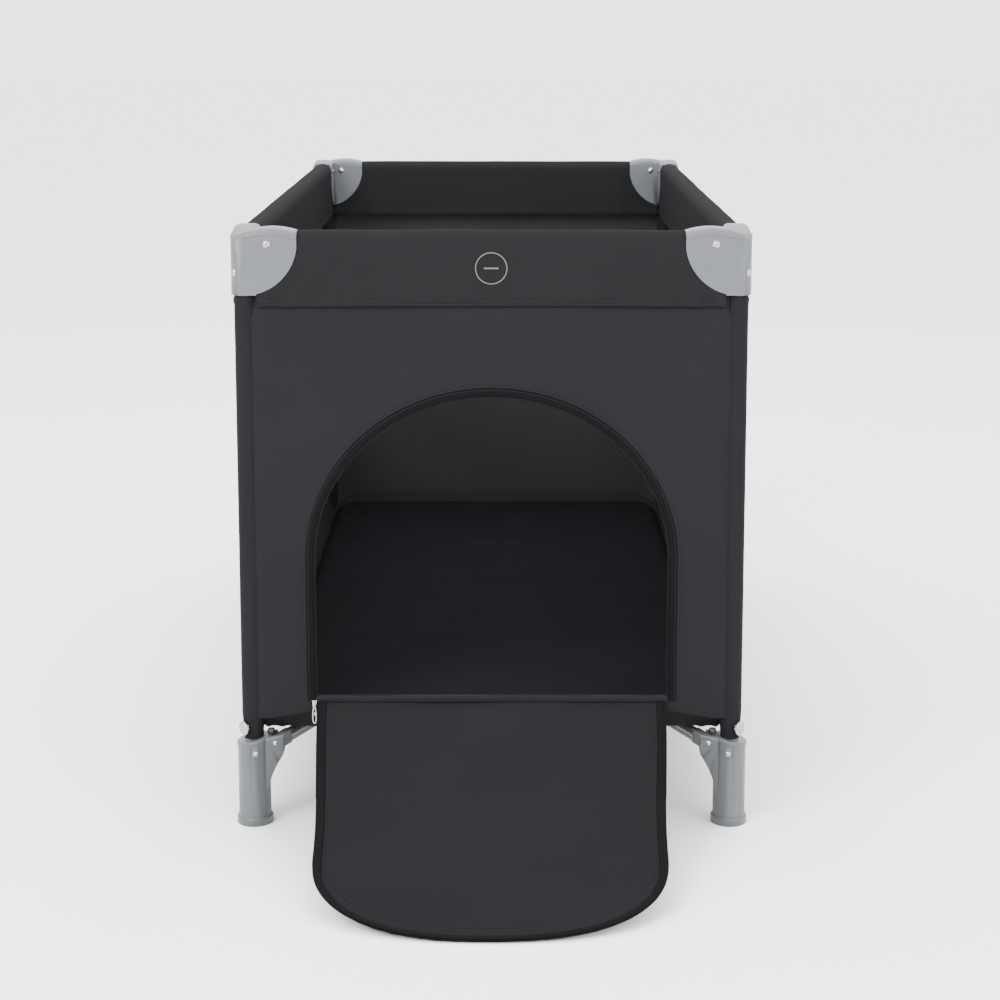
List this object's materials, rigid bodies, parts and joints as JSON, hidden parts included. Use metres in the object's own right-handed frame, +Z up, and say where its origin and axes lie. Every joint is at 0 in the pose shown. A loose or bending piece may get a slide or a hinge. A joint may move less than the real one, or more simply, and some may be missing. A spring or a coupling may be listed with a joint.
{
  "type": "folding playpen",
  "caption": "Folding travel cot and playpen with fabric walls, mesh side windows, hinged top rails, a centre hub and an arched zip door in one end.",
  "frame": {"origin": "centre of the hub foot's underside, on the floor", "axes": "+Z up; +Y along the cot away from the zip door end; +X to the right seen from the door end"},
  "size_m": [0.652, 1.5944, 0.7645],
  "materials": {
    "steel_tube": "powder coat, satin",
    "fitting_plastic": "moulded, satin",
    "boot_plastic": "moulded, satin",
    "bright_metal": "nickel plated",
    "sleeve_fabric": "woven polyester",
    "cover_fabric": "coated woven polyester",
    "panel_fabric": "coated woven polyester",
    "flap_fabric": "coated woven polyester",
    "mesh": "knitted mesh",
    "floor_fabric": "woven polyester",
    "mattress_fabric": "quilted woven polyester",
    "dark_plastic": "moulded, matt",
    "rubber": "matt",
    "webbing": "woven webbing"
  },
  "bodies": {
    "post_front_left": {"post_tube_front_left": "steel_tube", "corner_fitting_front_left": "fitting_plastic", "foot_boot_front_left": "boot_plastic", "fasteners_front_left": "bright_metal", "post_sleeve_front_left": "sleeve_fabric", "front_panel": "panel_fabric", "side_panel_left": "panel_fabric", "mesh_window_left": "mesh"},
    "bar_front_left": {"floor_bar_front_left": "steel_tube"},
    "post_front_right": {"post_tube_front_right": "steel_tube", "corner_fitting_front_right": "fitting_plastic", "foot_boot_front_right": "boot_plastic", "fasteners_front_right": "bright_metal", "post_sleeve_front_right": "sleeve_fabric", "side_panel_right": "panel_fabric", "mesh_window_right": "mesh"},
    "bar_front_right": {"floor_bar_front_right": "steel_tube"},
    "post_back_left": {"post_tube_back_left": "steel_tube", "corner_fitting_back_left": "fitting_plastic", "foot_boot_back_left": "boot_plastic", "fasteners_back_left": "bright_metal", "post_sleeve_back_left": "sleeve_fabric", "rear_panel": "panel_fabric"},
    "bar_back_left": {"floor_bar_back_left": "steel_tube"},
    "post_back_right": {"post_tube_back_right": "steel_tube", "corner_fitting_back_right": "fitting_plastic", "foot_boot_back_right": "boot_plastic", "fasteners_back_right": "bright_metal", "post_sleeve_back_right": "sleeve_fabric"},
    "bar_back_right": {"floor_bar_back_right": "steel_tube"},
    "hub": {"hub_body": "dark_plastic", "hub_foot": "rubber", "hub_strap": "webbing", "floor_fabric": "floor_fabric"},
    "mattress": {"mattress": "mattress_fabric"},
    "rail_front_left": {"rail_front_left": "steel_tube", "rail_cover_front_left": "cover_fabric"},
    "rail_front_right": {"rail_front_right": "steel_tube", "rail_cover_front_right": "cover_fabric"},
    "latch_front": {"latch_front": "dark_plastic"},
    "rail_back_left": {"rail_back_left": "steel_tube", "rail_cover_back_left": "cover_fabric"},
    "rail_back_right": {"rail_back_right": "steel_tube", "rail_cover_back_right": "cover_fabric"},
    "latch_back": {"latch_back": "dark_plastic"},
    "rail_left_front": {"rail_left_front": "steel_tube", "rail_cover_left_front": "cover_fabric"},
    "rail_left_back": {"rail_left_back": "steel_tube", "rail_cover_left_back": "cover_fabric"},
    "latch_left": {"latch_left": "dark_plastic"},
    "rail_right_front": {"rail_right_front": "steel_tube", "rail_cover_right_front": "cover_fabric"},
    "rail_right_back": {"rail_right_back": "steel_tube", "rail_cover_right_back": "cover_fabric"},
    "latch_right": {"latch_right": "dark_plastic"},
    "door_upper": {"door_flap_upper": "flap_fabric"},
    "door_lower": {"door_flap_lower": "flap_fabric"},
    "zip_stop": {"zip_end_stop": "bright_metal"},
    "zip_slider": {"zip_slider": "bright_metal"},
    "zip_pull": {"zip_pull": "bright_metal"}
  },
  "joints": [
    {"name": "frame_fold", "type": "hinge", "parent": "post_front_left", "child": "bar_front_left", "pos_m": [-0.27404, -0.60179, 0.105], "axis": [0.9101, -0.4144, 0], "range_deg": [0, 86], "deforming": ["front_panel", "rear_panel", "side_panel_left", "side_panel_right", "mesh_window_left", "mesh_window_right", "floor_fabric", "mattress", "rail_cover_front_left", "rail_cover_front_right", "rail_cover_back_left", "rail_cover_back_right", "rail_cover_left_front", "rail_cover_left_back", "rail_cover_right_front", "rail_cover_right_back"]},
    {"name": "hub_level", "type": "hinge", "parent": "bar_front_left", "child": "hub", "pos_m": [-0.02404, -0.05278, 0.105], "axis": [0.9101, -0.4144, 0], "range_deg": [-86.5, 0.5]},
    {"name": "bar_front_right_fold", "type": "hinge", "parent": "hub", "child": "bar_front_right", "pos_m": [0.02404, -0.05278, 0.105], "axis": [0.9101, 0.4144, 0], "range_deg": [-0.5, 86.5]},
    {"name": "post_front_right_level", "type": "hinge", "parent": "bar_front_right", "child": "post_front_right", "pos_m": [0.27404, -0.60179, 0.105], "axis": [0.9101, 0.4144, 0], "range_deg": [-86.5, 0.5]},
    {"name": "bar_back_left_fold", "type": "hinge", "parent": "hub", "child": "bar_back_left", "pos_m": [-0.02404, 0.05278, 0.105], "axis": [-0.9101, -0.4144, 0], "range_deg": [-0.5, 86.5]},
    {"name": "post_back_left_level", "type": "hinge", "parent": "bar_back_left", "child": "post_back_left", "pos_m": [-0.27404, 0.60179, 0.105], "axis": [-0.9101, -0.4144, 0], "range_deg": [-86.5, 0.5]},
    {"name": "bar_back_right_fold", "type": "hinge", "parent": "hub", "child": "bar_back_right", "pos_m": [0.02404, 0.05278, 0.105], "axis": [-0.9101, 0.4144, 0], "range_deg": [-0.5, 86.5]},
    {"name": "post_back_right_level", "type": "hinge", "parent": "bar_back_right", "child": "post_back_right", "pos_m": [0.27404, 0.60179, 0.105], "axis": [-0.9101, 0.4144, 0], "range_deg": [-86.5, 0.5]},
    {"name": "rail_front_left_fold", "type": "hinge", "parent": "post_front_left", "child": "rail_front_left", "pos_m": [-0.275, -0.602, 0.744], "axis": [0, 1, 0], "range_deg": [-0.5, 86.5]},
    {"name": "latch_front_level", "type": "hinge", "parent": "rail_front_left", "child": "latch_front", "pos_m": [-0.025, -0.602, 0.744], "axis": [0, 1, 0], "range_deg": [-86.5, 0.5]},
    {"name": "rail_front_right_fold", "type": "hinge", "parent": "post_front_right", "child": "rail_front_right", "pos_m": [0.275, -0.602, 0.744], "axis": [0, -1, 0], "range_deg": [-0.5, 86.5]},
    {"name": "rail_back_left_fold", "type": "hinge", "parent": "post_back_left", "child": "rail_back_left", "pos_m": [-0.275, 0.602, 0.744], "axis": [0, 1, 0], "range_deg": [-0.5, 86.5]},
    {"name": "latch_back_level", "type": "hinge", "parent": "rail_back_left", "child": "latch_back", "pos_m": [-0.025, 0.602, 0.744], "axis": [0, 1, 0], "range_deg": [-86.5, 0.5]},
    {"name": "rail_back_right_fold", "type": "hinge", "parent": "post_back_right", "child": "rail_back_right", "pos_m": [0.275, 0.602, 0.744], "axis": [0, -1, 0], "range_deg": [-0.5, 86.5]},
    {"name": "rail_left_front_fold", "type": "hinge", "parent": "post_front_left", "child": "rail_left_front", "pos_m": [-0.303, -0.574, 0.744], "axis": [-1, 0, 0], "range_deg": [-0.5, 86.5]},
    {"name": "latch_left_level", "type": "hinge", "parent": "rail_left_front", "child": "latch_left", "pos_m": [-0.303, -0.025, 0.744], "axis": [-1, 0, 0], "range_deg": [-86.5, 0.5]},
    {"name": "rail_left_back_fold", "type": "hinge", "parent": "post_back_left", "child": "rail_left_back", "pos_m": [-0.303, 0.574, 0.744], "axis": [1, 0, 0], "range_deg": [-0.5, 86.5]},
    {"name": "rail_right_front_fold", "type": "hinge", "parent": "post_front_right", "child": "rail_right_front", "pos_m": [0.303, -0.574, 0.744], "axis": [-1, 0, 0], "range_deg": [-0.5, 86.5]},
    {"name": "latch_right_level", "type": "hinge", "parent": "rail_right_front", "child": "latch_right", "pos_m": [0.303, -0.025, 0.744], "axis": [-1, 0, 0], "range_deg": [-86.5, 0.5]},
    {"name": "rail_right_back_fold", "type": "hinge", "parent": "post_back_right", "child": "rail_right_back", "pos_m": [0.303, 0.574, 0.744], "axis": [1, 0, 0], "range_deg": [-0.5, 86.5]},
    {"name": "zip_stop_shift", "type": "slide", "parent": "post_front_left", "child": "zip_stop", "axis": [-1, 0, 0], "range_m": [-0.001, 0.062]},
    {"name": "zip_run", "type": "slide", "parent": "zip_stop", "child": "zip_slider", "axis": [0, 0, 1], "range_m": [0, 0.19]},
    {"name": "zip_pull_swing", "type": "hinge", "parent": "zip_slider", "child": "zip_pull", "pos_m": [-0.2235, -0.623, 0.161], "axis": [-1, 0, 0], "range_deg": [0, 150]},
    {"name": "door_fold", "type": "hinge", "parent": "post_front_left", "child": "door_upper", "pos_m": [0, -0.6205, 0.163], "axis": [-1, 0, 0], "range_deg": [0, 121]},
    {"name": "door_crease", "type": "hinge", "parent": "door_upper", "child": "door_lower", "pos_m": [0, -0.74908, 0.08574], "axis": [-1, 0, 0], "range_deg": [-10.7, 0.5]},
    {"name": "mattress_lift", "type": "slide", "parent": "hub", "child": "mattress", "axis": [0, 0, 1], "range_m": [0, 0.75]}
  ],
  "couplings": [
    {"joint": "hub_level", "follows": "frame_fold", "ratio": -1},
    {"joint": "bar_front_right_fold", "follows": "frame_fold", "ratio": 1},
    {"joint": "post_front_right_level", "follows": "frame_fold", "ratio": -1},
    {"joint": "bar_back_left_fold", "follows": "frame_fold", "ratio": 1},
    {"joint": "post_back_left_level", "follows": "frame_fold", "ratio": -1},
    {"joint": "bar_back_right_fold", "follows": "frame_fold", "ratio": 1},
    {"joint": "post_back_right_level", "follows": "frame_fold", "ratio": -1},
    {"joint": "rail_front_left_fold", "follows": "frame_fold", "ratio": 1},
    {"joint": "latch_front_level", "follows": "frame_fold", "ratio": -1},
    {"joint": "rail_front_right_fold", "follows": "frame_fold", "ratio": 1},
    {"joint": "rail_back_left_fold", "follows": "frame_fold", "ratio": 1},
    {"joint": "latch_back_level", "follows": "frame_fold", "ratio": -1},
    {"joint": "rail_back_right_fold", "follows": "frame_fold", "ratio": 1},
    {"joint": "rail_left_front_fold", "follows": "frame_fold", "ratio": 1},
    {"joint": "latch_left_level", "follows": "frame_fold", "ratio": -1},
    {"joint": "rail_left_back_fold", "follows": "frame_fold", "ratio": 1},
    {"joint": "rail_right_front_fold", "follows": "frame_fold", "ratio": 1},
    {"joint": "latch_right_level", "follows": "frame_fold", "ratio": -1},
    {"joint": "rail_right_back_fold", "follows": "frame_fold", "ratio": 1},
    {"joint": "zip_stop_shift", "follows": "frame_fold", "m_per_rad": 0.040652},
    {"joint": "door_crease", "follows": "door_fold", "ratio": -0.084095}
  ]
}
